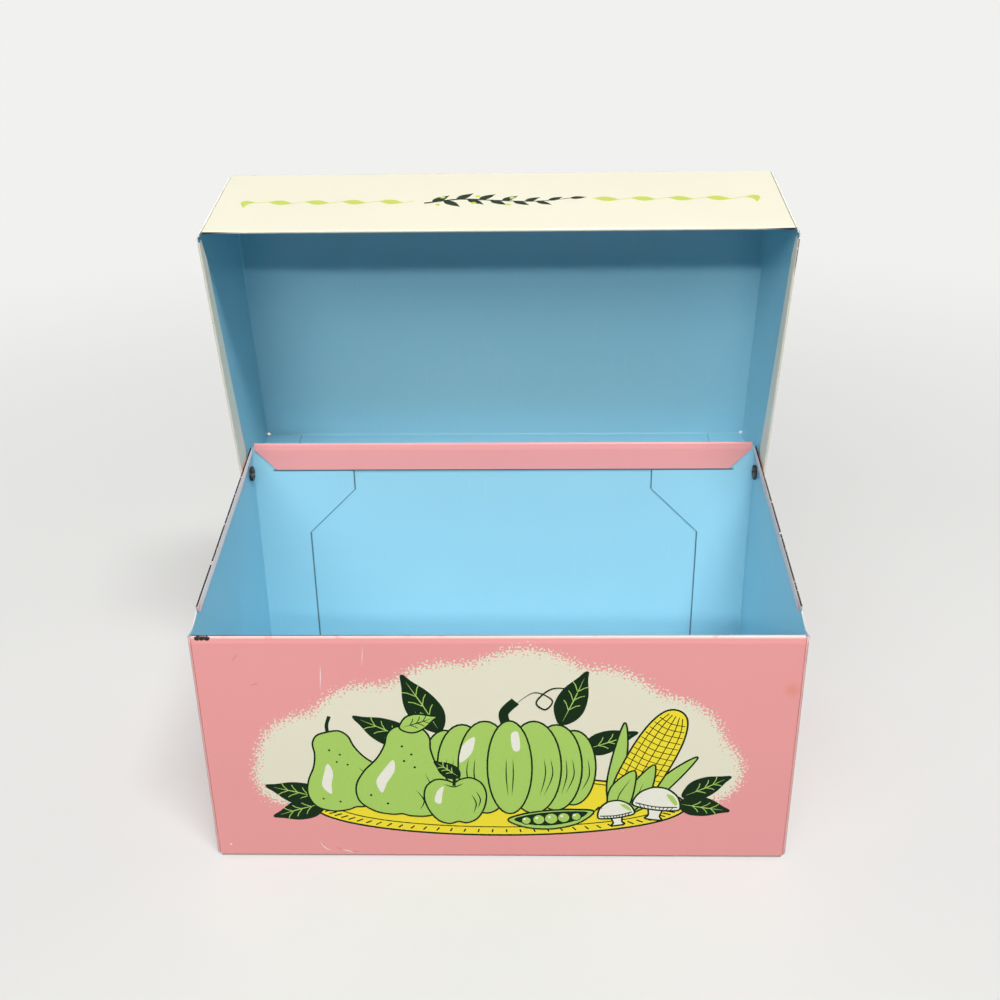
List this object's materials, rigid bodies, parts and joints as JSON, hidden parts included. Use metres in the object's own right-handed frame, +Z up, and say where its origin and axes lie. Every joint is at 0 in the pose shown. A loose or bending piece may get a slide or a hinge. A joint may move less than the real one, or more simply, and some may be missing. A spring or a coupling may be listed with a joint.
{
  "type": "recipe card box",
  "caption": "Folded tinplate box for index cards, with hemmed rims, corner tabs and a deep lid that tips back on side rivets.",
  "frame": {"origin": "centre of the underside, on the surface that the box stands on", "axes": "+Z up, +Y from the front wall to the back wall, +X to the right seen from the front"},
  "size_m": [0.138, 0.0987, 0.1427],
  "materials": {
    "body_tinplate": "gloss enamel print, pink outside and light blue inside",
    "lid_tinplate": "gloss enamel print, cream outside and light blue inside",
    "rivet_steel": "tarnished"
  },
  "bodies": {
    "body": {"body_shell": "body_tinplate", "left_rivet": "rivet_steel", "right_rivet": "rivet_steel"},
    "lid": {"lid_shell": "lid_tinplate"}
  },
  "joints": [
    {"name": "lid_hinge", "type": "hinge", "parent": "body", "child": "lid", "pos_m": [0, 0.033, 0.0675], "axis": [1, 0, 0], "range_deg": [0, 80]}
  ]
}
